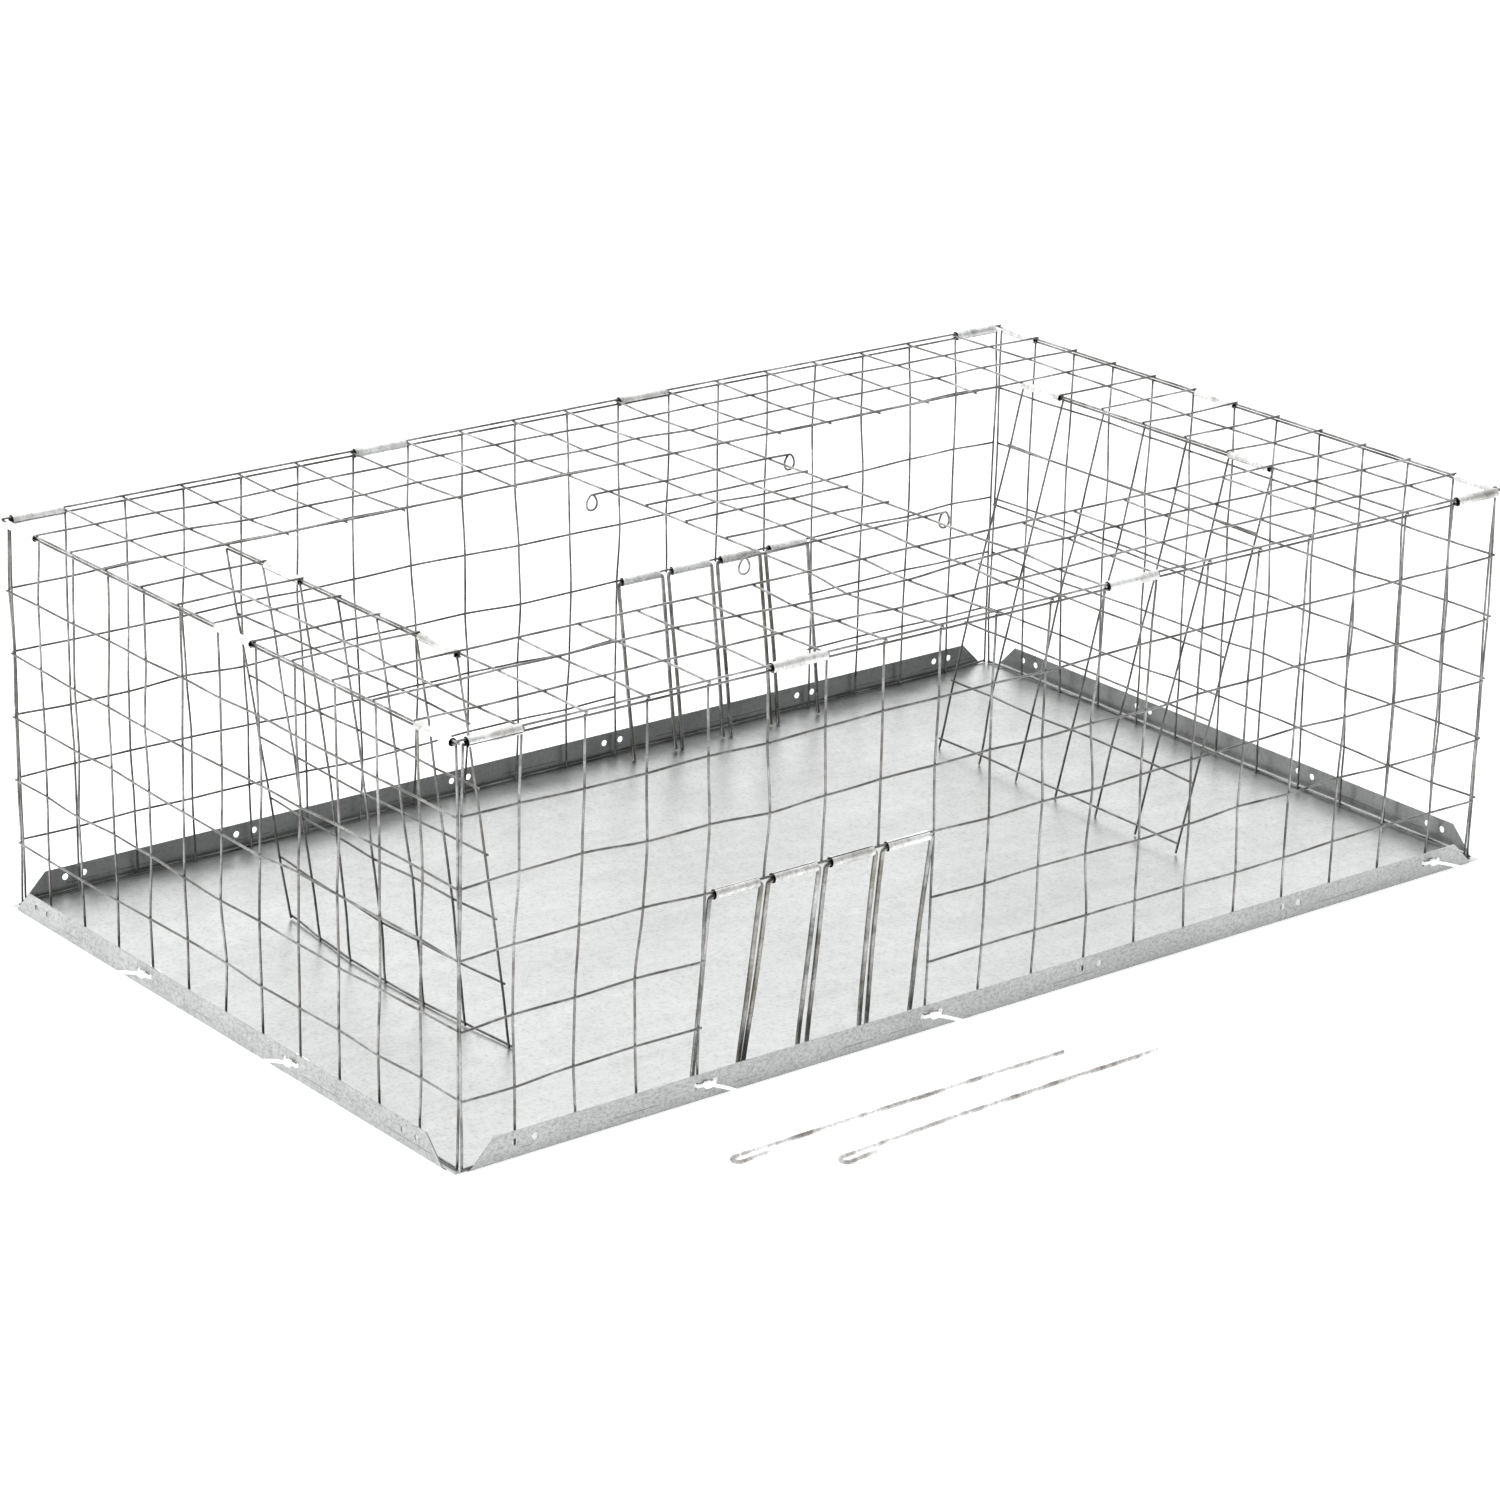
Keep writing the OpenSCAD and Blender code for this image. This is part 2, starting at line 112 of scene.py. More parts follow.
# ---------------------------------------------------------------- materials
class Nodes:
    """A short way to write a node tree."""

    def __init__(self, name):
        self.mat = bpy.data.materials.new(name)
        self.mat.use_nodes = True
        self.tree = self.mat.node_tree
        self.bsdf = self.tree.nodes["Principled BSDF"]
        self.where = self.add("ShaderNodeTexCoord").outputs["Object"]

    def add(self, kind, inputs=None, **attrs):
        n = self.tree.nodes.new(kind)
        for k, v in attrs.items():
            setattr(n, k, v)
        for k, v in (inputs or {}).items():
            self.plug(n.inputs[k], v)
        return n

    def plug(self, socket, v):
        if isinstance(v, bpy.types.NodeSocket):
            self.tree.links.new(v, socket)
        else:
            socket.default_value = v

    def noise(self, scale, detail=3, rough=0.55, stretch=(1, 1, 1), distortion=0.0):
        m = self.add("ShaderNodeMapping", {"Vector": self.where, "Scale": stretch})
        return self.add("ShaderNodeTexNoise", {
            "Vector": m.outputs[0], "Scale": scale, "Detail": detail,
            "Roughness": rough, "Distortion": distortion}).outputs["Fac"]

    def cells(self, scale, stretch=(1, 1, 1)):
        m = self.add("ShaderNodeMapping", {"Vector": self.where, "Scale": stretch})
        return self.add("ShaderNodeTexVoronoi", {"Vector": m.outputs[0], "Scale": scale})

    def ramp(self, fac, *stops):
        n = self.add("ShaderNodeValToRGB", {"Fac": fac})
        while len(n.color_ramp.elements) < len(stops):
            n.color_ramp.elements.new(0.5)
        for e, (at, c) in zip(n.color_ramp.elements, stops):
            e.position = at
            e.color = (c, c, c, 1) if isinstance(c, (int, float)) else (*c, 1)
        return n.outputs["Color"]

    def mix(self, fac, a, b, blend="MIX"):
        n = self.add("ShaderNodeMix", data_type="RGBA", blend_type=blend)
        for i, v in ((0, fac), (6, a), (7, b)):  # the node's factor and its colour sockets
            if isinstance(v, tuple) and len(v) == 3:
                v = (*v, 1)
            self.plug(n.inputs[i], v)
        return n.outputs[2]

    def math(self, op, a, b):
        n = self.add("ShaderNodeMath", operation=op)
        self.plug(n.inputs[0], a)
        self.plug(n.inputs[1], b)
        return n.outputs[0]

    def finish(self, color, rough, bump, strength, depth, **fixed):
        """Link colour, roughness and bump, and set the fixed values by socket name."""
        self.plug(self.bsdf.inputs["Base Color"], color)
        self.plug(self.bsdf.inputs["Roughness"], rough)
        for k, v in fixed.items():
            self.bsdf.inputs[k.replace("_", " ")].default_value = v
        b = self.add("ShaderNodeBump", {"Height": bump, "Strength": strength, "Distance": depth})
        self.plug(self.bsdf.inputs["Normal"], b.outputs[0])
        return self.mat


def zinc_wire(name, dark, mid, light, stain, amount, rough=(0.28, 0.5), metal=1.0):
    """Galvanised wire: bright zinc with dull grey runs, fine drawing marks, and stain.
    dark, mid and light are greys, and amount is the strength of the stain's patches."""
    n = Nodes(name)
    runs = n.noise(34, 4, 0.6, distortion=0.6)
    color = n.ramp(runs, (0.30, dark), (0.47, mid), (0.66, light))
    flecks = n.ramp(n.noise(420, 2, 0.6), (0.33, 0.42), (0.5, 1.0))
    color = n.mix(0.55, color, flecks, "MULTIPLY")
    patches = n.ramp(n.noise(26, 5, 0.7, (1, 1, 0.35)), (0.44, 0.0), (0.62, amount))
    color = n.mix(patches, color, stain)
    roughness = n.ramp(n.noise(90, 3), (0.35, rough[0]), (0.7, rough[1]))
    return n.finish(color, roughness, n.noise(700, 3, 0.6), 0.35, 0.00015, Metallic=metal)


def galvanised_sheet(name, base, rough=(0.29, 0.45)):
    """Hot-dip galvanised sheet: soft spangle, rolled streaks, dim clouds, painted shade on the flanges'
    outer faces, a thin dark line.
    """
    flange_x, flange_y = [(size / 2 - 0.5) * MM for size in (TRAY_L, TRAY_W)]
    dark_line_z = 6.8 * MM
    n = Nodes(name)
    spangle = n.cells(150, (1, 0.8, 1))
    color = n.ramp(spangle.outputs["Color"], (0.0, base - 0.03), (1.0, base + 0.02))
    fine = n.ramp(n.noise(330, 5, 0.75), (0.36, 0.74), (0.50, 1.0))
    color = n.mix(0.8, color, fine, "MULTIPLY")
    clouds = n.ramp(n.noise(9, 5, 0.65, (0.7, 1.2, 1)), (0.30, 0.88), (0.62, 1.0))
    color = n.mix(0.8, color, clouds, "MULTIPLY")
    streaks = n.ramp(n.noise(75, 3, 0.5, (0.05, 1, 1)), (0.35, 0.92), (0.6, 1.0))
    color = n.mix(0.6, color, streaks, "MULTIPLY")
    color = n.mix(1.0, color, (0.985, 1.0, 0.995), "MULTIPLY")
    # The flanges' outer faces are grainier, and darkened all over with a flat multiply: painted shade.
    where = n.add("ShaderNodeSeparateXYZ", {"Vector": n.where}).outputs
    outer = n.math("MAXIMUM", n.math("GREATER_THAN", n.math("ABSOLUTE", where["Y"], 0.0), flange_y),
                   n.math("GREATER_THAN", n.math("ABSOLUTE", where["X"], 0.0), flange_x))
    grain = n.ramp(n.noise(520, 4, 0.8, (0.6, 0.6, 1)), (0.38, 0.62), (0.56, 0.98))
    grain_and_painted_shade = n.mix(1.0, n.mix(0.85, color, grain, "MULTIPLY"), (0.78, 0.785, 0.78), "MULTIPLY")
    color = n.mix(outer, color, grain_and_painted_shade)
    # A thin dark line along the flanges, 6.8 mm up, broken in places.
    off = n.math("ABSOLUTE", n.math("SUBTRACT", where["Z"], dark_line_z), 0.0)
    line = n.ramp(n.math("MULTIPLY", off, 1 / MM), (0.22, 1.0), (0.50, 0.0))
    breaks = n.ramp(n.noise(16, 3, 0.6), (0.50, 0.0), (0.54, 0.75))
    color = n.mix(n.math("MULTIPLY", line, breaks), color, (0.16, 0.17, 0.17))
    roughness = n.ramp(n.noise(22, 5, 0.65), (0.3, rough[0]), (0.7, rough[1]))
    waves = n.math("MULTIPLY", n.noise(5.5, 2, 0.4, (1, 0.6, 1)), 6.0)
    height = n.math("ADD", n.math("MULTIPLY", n.noise(300, 3), 0.35), waves)
    return n.finish(color, roughness, height, 0.25, 0.0004, Metallic=1.0)


def nylon(name):
    """Natural nylon: milky white with faintly yellow clouds and a fine grain, plus a faint emission
    glow, painted light that keeps the ties bright.
    """
    n = Nodes(name)
    color = n.ramp(n.noise(55, 3), (0.3, (0.90, 0.90, 0.87)), (0.7, (0.98, 0.98, 0.965)))
    roughness = n.ramp(n.noise(300, 3), (0.35, 0.30), (0.7, 0.45))
    n.bsdf.inputs["Subsurface Radius"].default_value = (1.0, 0.9, 0.8)
    # The emission is painted light: it brightens the ties, which give no light of their own.
    return n.finish(color, roughness, n.noise(1200, 2), 0.15, 0.0001,
                    Emission_Color=(1, 1, 1, 1), Emission_Strength=0.18,
                    Subsurface_Weight=0.1, Subsurface_Scale=0.002, IOR=1.53)


MESH_WIRE = zinc_wire("mesh_wire", 0.10, 0.19, 0.38, (0.13, 0.115, 0.09), 0.35)
# The roof's wire is the walls' wire made lighter all over: a painted highlight for the upward-facing
# roof and its eye wires.
TOP_WIRE_LIT = zinc_wire("top_mesh_wire_lit", 0.12, 0.25, 0.52, (0.15, 0.135, 0.11), 0.3)
DOOR_WIRE = zinc_wire("door_mesh_wire", 0.08, 0.17, 0.34, (0.12, 0.105, 0.085), 0.4)
BOB_WIRE = zinc_wire("bob_wire", 0.10, 0.27, 0.52, (0.17, 0.145, 0.09), 0.5, (0.30, 0.50))
# Painted highlight: the rods' bright wire is near white and only partly metallic, so the rods look as
# bright as a strong shine makes them; the stain patches are their own.
ROD_WIRE = zinc_wire("rod_wire", 0.30, 0.96, 0.98, (0.16, 0.13, 0.10), 0.85, (0.35, 0.5), 0.3)
# Painted highlight: the sleeves' zinc is near white and only partly metallic, so the sleeves look as
# bright as a strong shine makes them; the stain patches are their own.
SLEEVE = zinc_wire("zinc_sleeve", 0.50, 0.92, 0.96, (0.20, 0.185, 0.14), 0.55, (0.35, 0.5), 0.35)
# Painted shade: a near-black copy of the zinc for the sleeves' insides and cut edges, where their mouths
# stand in shade.
BORE_PAINTED_SHADE = zinc_wire("zinc_sleeve_bore_painted_shade", 0.006, 0.012, 0.03, (0.02, 0.018, 0.014), 0.5, (0.7, 0.9), 0.0)
TRAY = galvanised_sheet("galvanised_sheet", 0.575)
NYLON = nylon("nylon")


# ---------------------------------------------------------------- mesh building
def tube_faces(rings, sides):
    """Quads round a stack of rings of points, and a face over each end."""
    faces = [(k * sides + i, k * sides + (i + 1) % sides,
              (k + 1) * sides + (i + 1) % sides, (k + 1) * sides + i)
             for k in range(rings - 1) for i in range(sides)]
    last = (rings - 1) * sides
    return faces + [tuple(reversed(range(sides))), tuple(range(last, last + sides))]


class Shape:
    """Collects vertices (in mm) and faces for one object. paint is a number per face:
    0 for the first of the object's materials, 1 for the second."""

    def __init__(self):
        self.verts, self.faces, self.paint, self.count = [], [], [], 0

    def add(self, verts, faces, paint=None):
        self.verts.append(np.asarray(verts, float))
        self.paint += paint or [0] * len(faces)
        self.faces += [tuple(int(i) + self.count for i in f) for f in faces]
        self.count += len(verts)

    def sweep(self, path, section, up, scale):
        """A section (n x 2 points) carried along a path, with closed ends. up is the
        section's second axis at the start, and scale gives its size at each point."""
        path, section = np.asarray(path, float), np.asarray(section, float)
        t = np.gradient(path, axis=0)
        t /= np.linalg.norm(t, axis=1)[:, None]
        a = np.asarray(up, float)
        a = a - t[0] * a.dot(t[0])
        a /= np.linalg.norm(a)
        verts = []
        for k in range(len(path)):
            a = a - t[k] * a.dot(t[k])
            a /= np.linalg.norm(a)
            b = np.cross(t[k], a)
            s = section * scale[k]
            verts.append(path[k] + s[:, :1] * b + s[:, 1:] * a)
        self.add(np.concatenate(verts), tube_faces(len(path), len(section)))

    def wire(self, path, r, sides=8):
        """Round wire with small chamfers at its cut ends."""
        long, narrow = 0.25 * r, 0.78 * r  # of a chamfer
        skew = (0.31, 0.47, 0.83)  # along no wire, so that every wire's section can start
        path = np.asarray(path, float)
        first = path[0] + (path[1] - path[0]) / np.linalg.norm(path[1] - path[0]) * long
        final = path[-1] + (path[-2] - path[-1]) / np.linalg.norm(path[-2] - path[-1]) * long
        path = np.vstack([path[:1], [first], path[1:-1], [final], path[-1:]])
        scale = np.full(len(path), r)
        scale[0] = scale[-1] = narrow
        a = np.arange(sides) * 2 * np.pi / sides
        self.sweep(path, np.c_[np.cos(a), np.sin(a)], skew, scale)

    def sheet(self, grid, normals, t):
        """A closed sheet of thickness t behind a grid of points (a x b x 3). Its back
        and its rim are painted 1."""
        a, b = grid.shape[:2]
        n = a * b
        verts = np.concatenate([grid.reshape(-1, 3), (grid - normals * t).reshape(-1, 3)])
        faces, paint, edges = [], [], {}
        for i in range(a - 1):
            for j in range(b - 1):
                q = (i * b + j, (i + 1) * b + j, (i + 1) * b + j + 1, i * b + j + 1)
                faces += [q, tuple(reversed([k + n for k in q]))]
                paint += [0, 1]
                edges.update(dict.fromkeys(zip(q, q[1:] + q[:1])))
        rim = [(e[1], e[0], e[0] + n, e[1] + n) for e in edges if (e[1], e[0]) not in edges]
        self.add(verts, faces + rim, paint + [1] * len(rim))

    def make(self, name, mats, body, slot, nodes, smooth=50):
        """The object, in one material or in a pair of them; smooth is in degrees."""
        mats, paint = (mats, self.paint) if isinstance(mats, tuple) else ((mats,), [0] * len(self.faces))
        mesh = bpy.data.meshes.new(name)
        mesh.from_pydata([tuple(v) for v in np.concatenate(self.verts) * MM], [], self.faces)
        mesh.shade_smooth()
        mesh.set_sharp_from_angle(angle=math.radians(smooth))
        obj = bpy.data.objects.new(name, mesh)
        bpy.context.scene.collection.objects.link(obj)
        for m in mats:
            mesh.materials.append(m)
        mesh.polygons.foreach_set("material_index", paint)
        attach(obj, body)
        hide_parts(*nodes)


# ---------------------------------------------------------------- welded mesh panels
# How far a wire bows between two crossings: in general, in a door, and where it runs
# through a sleeve.
WIGGLE, IN_DOOR, IN_SLEEVE = 0.22, 0.15, 0.05


class Panel:
    """A welded mesh whose crossings are pushed a little out of place, as by hand.

    A point is (u, v, n) on the panel's own axes. Both wires of a crossing take the
    same push, so the welds hold. sway is how far long waves push the mesh along u, v
    and n, and knock how far each crossing is pushed by itself. pin[i, j] is 0 where
    something holds the crossing. lean is added along u, and limit bounds the push
    along n.
    """

    def __init__(self, origin, axes, us, vs, sway, knock, pin, limit, lean=None):
        self.origin, self.axes = np.array(origin, float), np.array(axes, float)
        self.us, self.vs = np.array(us, float), np.array(vs, float)
        a, b = len(us), len(vs)
        i, j = np.meshgrid(np.arange(a), np.arange(b), indexing="ij")
        push = np.zeros((a, b, 3))
        for c in range(3):
            for _ in range(4):
                fu, fv, ph = RNG.uniform(0.25, 0.95), RNG.uniform(0.25, 0.95), RNG.uniform(0, 6.3)
                push[..., c] += sway[c] / 2 * np.sin(fu * i + fv * j + ph)
            push[..., c] += knock[c] * np.clip(RNG.normal(size=(a, b)), -2, 2)
        push *= pin[..., None]
        if lean is not None:
            push[..., 0] += lean
            push[:, 0, 1] = np.abs(push[:, 0, 1])  # the lowest wire stays above the tray
        push[..., 2] = np.clip(push[..., 2], limit[0], limit[1])
        self.push = push
        self.shape = Shape()

    def place(self, u, v, n):
        """World points, with the push eased from crossing to crossing."""
        fi = np.clip(np.interp(u, self.us, np.arange(len(self.us))), 0, len(self.us) - 1.0001)
        fj = np.clip(np.interp(v, self.vs, np.arange(len(self.vs))), 0, len(self.vs) - 1.0001)
        i, j = fi.astype(int), fj.astype(int)
        x, y = fi - i, fj - j
        # Partly straight, partly an S-curve that is level at the crossings.
        x, y = [0.35 * q + 0.65 * q * q * (3 - 2 * q) for q in (x, y)]
        x, y = x[:, None], y[:, None]
        p = self.push
        d = (p[i, j] * (1 - x) * (1 - y) + p[i + 1, j] * x * (1 - y)
             + p[i, j + 1] * (1 - x) * y + p[i + 1, j + 1] * x * y)
        q = np.c_[u, v, n] + d
        return self.origin + q @ self.axes

    def run(self, along, at, lo, hi, n, wiggle=WIGGLE):
        """One wire along u or v from lo to hi, at these places on the other axes."""
        spacing, least = 9.0, 1.2  # between two points on the wire
        cross = self.us if along == "u" else self.vs
        s = np.unique(np.concatenate([[lo, hi], np.arange(lo, hi, spacing),
                                      [c for c in cross if lo < c < hi]]))
        s = s[np.concatenate([[True], np.diff(s) > least])]
        s[-1] = hi
        k = np.interp(s, cross, np.arange(len(cross)))
        size = RNG.uniform(-wiggle, wiggle, (len(cross) + 1, 2))[k.astype(int)]
        bow = np.sin((k - k.astype(int)) * np.pi)[:, None] * size
        fixed = np.full(len(s), float(at)) + bow[:, 0]
        u, v = (s, fixed) if along == "u" else (fixed, s)
        self.shape.wire(self.place(u, v, np.full(len(s), float(n)) + bow[:, 1]), R)


def pins(a, b, edges, held=()):
    """1 where a crossing is free. edges gives the freedom of the u0, u1, v0 and v1
    edges, which the next line of crossings partly shares, and held that of single
    crossings, as (i, j, freedom)."""
    pin = np.ones((a, b))
    for k, e in enumerate(edges):
        for depth, part in ((0, 0.0), (1, 0.6)):
            take = e + (1 - e) * part
            s = [slice(None)] * 2
            s[k // 2] = depth if k % 2 == 0 else -1 - depth
            pin[tuple(s)] = np.minimum(pin[tuple(s)], take)
    for i, j, e in held:
        pin[i, j] = min(pin[i, j], e)
    return pin


# The walls are racked: seen from outside, their feet stand further left than their
# tops. For the front wall (-1) and the back one (1), this is how far at the feet, and
# then row by row up the left and the right side of the bob opening.
RACKED = {-1: (-5.0, (-3.2, -2.4, -1.2), (-3.0, -1.8, -0.5)),
          1: (-2.0, (-1.5, -1.0, -0.5), (-1.0, -0.6, -0.2))}


def long_wall(name, side):
    """A wall with the bob opening: side -1 is the front, 1 the back (turned half round)."""
    xs = posts(line_x)
    held = [(i, BOB_ROWS, 0) for i in range(BOB_CELL, BOB_END + 1)]
    held += [(i, j, 0.5) for i in (BOB_CELL, BOB_END) for j in range(BOB_ROWS)]
    pin = pins(NX + 1, NZ + 1, (0.5, 0.5, 0.35, 0), held)
    axes = [(-side, 0, 0), (0, 0, 1), (0, -side, 0)]  # n points into the cage
    foot, first, last = RACKED[side]
    lean = np.outer(np.ones(NX + 1), np.linspace(foot, 0, NZ + 1))
    lean[0], lean[NX - 1:] = lean[0] * 0.4, lean[NX - 1:] * 0.7
    lean[BOB_CELL:BOB_END + 1, 1:] = 0
    lean[BOB_CELL, :BOB_ROWS], lean[BOB_END, :BOB_ROWS] = first, last
    p = Panel((0, side * W / 2, 0), axes, xs, row_z,
              (1.7, 1.2, 2.6), (1.1, 0.9, 0.75), pin, (-0.5, 5.5), lean)
    lo, hi = xs[0] - STUB, xs[-1] + STUB
    gap = line_x[BOB_CELL] + STUB, line_x[BOB_END] - STUB
    for i, z in enumerate(row_z):
        if 0 < i < BOB_ROWS:
            p.run("u", z, lo, gap[0], 0)
            p.run("u", z, gap[1], hi, 0)
        else:
            p.run("u", z, lo, hi, 0, IN_SLEEVE if i in (BOB_ROWS, NZ) else WIGGLE)
    for k, x in enumerate(xs):
        short = BOB_CELL < k < BOB_END
        p.run("v", x, row_z[BOB_ROWS] - STUB if short else LOW - R, HUNG + R, LAYER)
    nodes = [f"{name}_{q}" for q in ("panel_left", "panel_right", "panel_above_bobs", "sill_wire")]
    p.shape.make(f"{name}_mesh", MESH_WIRE, "cage", "mesh_wire", nodes)


def end_wall(name, side):
    """A wall across the cage: side -1 is the left, 1 the right."""
    ys = posts(line_y)
    pin = pins(NY + 1, NZ + 1, (0.5, 0.5, 0.35, 0))
    axes = [(0, side, 0), (0, 0, 1), (-side, 0, 0)]
    p = Panel((side * L / 2, 0, 0), axes, ys, row_z,
              (1.6, 1.2, 2.8), (1.0, 0.9, 0.8), pin, (-2.8, 3.2), 0)
    for z in row_z:
        p.run("u", z, ys[0] - STUB, ys[-1] + STUB, 0, IN_SLEEVE if z == row_z[-1] else WIGGLE)
    for y in ys:
        p.run("v", y, LOW - R, HUNG + R, LAYER)
    p.shape.make(f"{name}_mesh", MESH_WIRE, "cage", "mesh_wire", [f"{name}_panel"])


def top():
    """The roof, with its two door openings, and the two eye wires welded to it."""
    held = [(k, j, 0) for k in (DOOR_X0, NX - DOOR_X0) for j in DOOR_LINES]
    held += [(k, j, 0.1) for k in (DOOR_X1, NX - DOOR_X1) for j in DOOR_LINES]
    held += [(k, j, 0.1) for k in range(DOOR_X0, NX - DOOR_X0 + 1) for j in (DOOR_Y0, DOOR_Y1)]
    pin = pins(NX + 1, NY + 1, (0, 0, 0, 0), held)
    p = Panel((0, 0, 0), np.eye(3), line_x, line_y,
              (1.3, 1.3, 1.6), (1.0, 1.0, 0.6), pin, (-4.0, 0.2))
    x_lo, x_hi = line_x[0] - STUB, line_x[-1] + STUB
    y_lo, y_hi = line_y[0] - STUB, line_y[-1] + STUB
    edge_x = line_x[DOOR_X0] + STUB, line_x[DOOR_X1] - STUB
    edge_y = line_y[DOOR_Y0] + STUB, line_y[DOOR_Y1] - STUB
    for j, y in enumerate(line_y):
        if DOOR_Y0 < j < DOOR_Y1:
            p.run("u", y, x_lo, edge_x[0], TOP_X)
            p.run("u", y, -edge_x[0], x_hi, TOP_X)
            if j not in EYE_LINES:
                p.run("u", y, edge_x[1], -edge_x[1], TOP_X)
        else:
            p.run("u", y, x_lo, x_hi, TOP_X, IN_SLEEVE if j in (0, NY) else WIGGLE)
    sleeved = (0, DOOR_X0, NX - DOOR_X0, NX)
    for k, x in enumerate(line_x):
        if DOOR_X0 < k < DOOR_X1 or NX - DOOR_X1 < k < NX - DOOR_X0:
            p.run("v", x, y_lo, edge_y[0], TOP_Y)
            p.run("v", x, edge_y[1], y_hi, TOP_Y)
        else:
            p.run("v", x, y_lo, y_hi, TOP_Y, IN_SLEEVE if k in sleeved else WIGGLE)
    p.shape.make("top_mesh", TOP_WIRE_LIT, "cage", "mesh_wire", ["top_panel"])
    eye_wire("front_eye_wire", line_y[EYE_LINES[0]] + EYE_SHIFT, p)
    eye_wire("back_eye_wire", line_y[EYE_LINES[1]] - EYE_SHIFT, p)


def eye_wire(node, y, roof):
    """A wire across the roof's strip whose ends are curled down into eyes."""
    z = TOP_X - 0.1
    x = np.linspace(-EYE_X, EYE_X, 21)
    bar = roof.place(x, np.full(len(x), y), np.full(len(x), z))
    ends = []
    for side, at in ((-1, 0), (1, -1)):
        a = np.radians(np.arange(10, 341, 11))
        # Hand bent: pear-shaped, longer than wide, slightly askew.
        pear = 0.62 + 0.16 * (1 - np.cos(a))
        dx = EYE_R * np.sin(a) * pear * (1 + RNG.uniform(-0.04, 0.03))
        dz = EYE_R * (np.cos(a) - 1)
        skew = RNG.uniform(-1.2, 1.2) * a / 6.3
        ends.append(np.c_[side * (EYE_X + dx), bar[0, 1] + skew, bar[at, 2] + dz])
    s = Shape()
    s.wire(np.vstack([ends[0][::-1], bar, ends[1]]), R, 10)
    s.make(f"{node}_bent", TOP_WIRE_LIT, "cage", "mesh_wire", [node])


def door(name, side, tail, twist):
    """A drop door: side -1 hangs from the left hinge line, 1 from the right. tail is
    how far its wires run on past its last row. twist gives how far one lower corner is
    bent, which corner (-1 the front one, 1 the back one) and how far its foot bows."""
    reach = DOOR_CELLS * DOOR_ROW + tail
    foot, drop = math.hypot(reach, LAYER + R), HUNG - SHEET - FLOOR_GAP
    lean = math.atan2(LAYER + R, reach) + math.acos(drop / foot)
    down = np.array([-side * math.sin(lean), 0, -math.cos(lean)])
    inward = np.array([-side * math.cos(lean), 0, math.sin(lean)])
    ys = [line_y[j] for j in DOOR_LINES]
    vs = [i * DOOR_ROW for i in range(DOOR_CELLS + 1)]
    size = len(ys), len(vs)
    pin = pins(*size, (0.6, 0.6, 0, 1))
    p = Panel((side * line_x[-1 - DOOR_X0], 0, HUNG), [(0, 1, 0), down, inward], ys, vs,
              (0.9, 0.8, 1.2), (0.7, 0.6, 0.5), pin, (-4.5, 0.0))
    # Bent away from the cage's middle, most at one corner: it still lies flat when shut.
    corner, which, bow = twist
    i, j = np.meshgrid(*[np.linspace(0, 1, n) for n in size], indexing="ij")
    p.push[..., 2] -= (corner * ((1 - i) if which < 0 else i) + bow * np.sin(i * np.pi)) * j ** 2
    p.push[..., 1] += p.push[..., 2] * math.tan(lean) * j  # keeps the feet on the tray
    p.push[:, -1, 1] = np.minimum(p.push[:, -1, 1], p.push[:, -1, 2] * math.tan(lean))
    for v in vs:
        p.run("u", v, ys[0] - STUB, ys[-1] + STUB, 0, IN_SLEEVE if v == 0 else WIGGLE)
    for y in ys:
        p.run("v", y, -R, reach, -LAYER, IN_DOOR)
    p.shape.make(f"{name}_door_mesh", DOOR_WIRE, f"{name}_door", "mesh_wire", [f"{name}_door"])


# ---------------------------------------------------------------- sleeves
SLEEVE_T = 0.45
DEEPEST_DENT = 0.15  # so that the bore stays clear of the wires


def sleeve(node, seam):
    """A strip of sheet rolled round two wires, its seam (at this angle) not quite shut."""
    lo, hi = [np.array(c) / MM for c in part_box(node)]
    along = 0 if hi[0] - lo[0] > hi[1] - lo[1] else 1
    mid, half, radius = (lo + hi) / 2, (hi[along] - lo[along]) / 2, (hi[2] - lo[2]) / 2
    s = np.linspace(-half, half, 25)
    gap = math.radians(RNG.uniform(9, 22))
    a = seam + np.linspace(gap / 2, 2 * math.pi - gap / 2, 41)
    A, S = np.meshgrid(a, s, indexing="ij")  # angle round the tube, place along it
    ph = RNG.uniform(0, 6.3, 6)
    dent = (0.10 * np.sin(0.21 * S + ph[0] + 2 * A) + 0.07 * np.sin(0.47 * S + ph[1] - 3 * A)
            + 0.05 * np.sin(0.9 * S + ph[2] + A) - 0.17)
    # One lip is pressed in a little further than the other, more so towards one end.
    lip = 0.30 * np.exp(-((A - a[0]) / 0.35) ** 2) * (0.4 + 0.6 * (S / half * np.sign(ph[3] - 3)))
    squeeze = -0.16 * np.cos(2 * (A - ph[4])) * (0.5 + 0.5 * np.cos(S / half * 2.2 + ph[5]))
    rad = radius + np.clip((dent - np.abs(lip) + squeeze) * 0.3, -DEEPEST_DENT, -0.01)
    c, d = np.cos(A), np.sin(A)
    # The ends are sheared a little off square.
    S = S + (np.abs(S) / half) ** 4 * 0.35 * (np.sin(A + ph[1]) - np.sign(S))
    if along == 0:
        n = np.stack([0 * A, c, d], -1)
        base = np.stack([S, 0 * A, 0 * A], -1)
    else:
        n = np.stack([-c, 0 * A, d], -1)
        base = np.stack([0 * A, S, 0 * A], -1)
    shape = Shape()
    # The inside and the rim take the second material, the near-black painted shade.
    shape.sheet(mid + base + n * rad[..., None], n, SLEEVE_T)
    shape.make(f"{node}_rolled", (SLEEVE, BORE_PAINTED_SHADE), "cage", "zinc_sleeve", [node], 40)


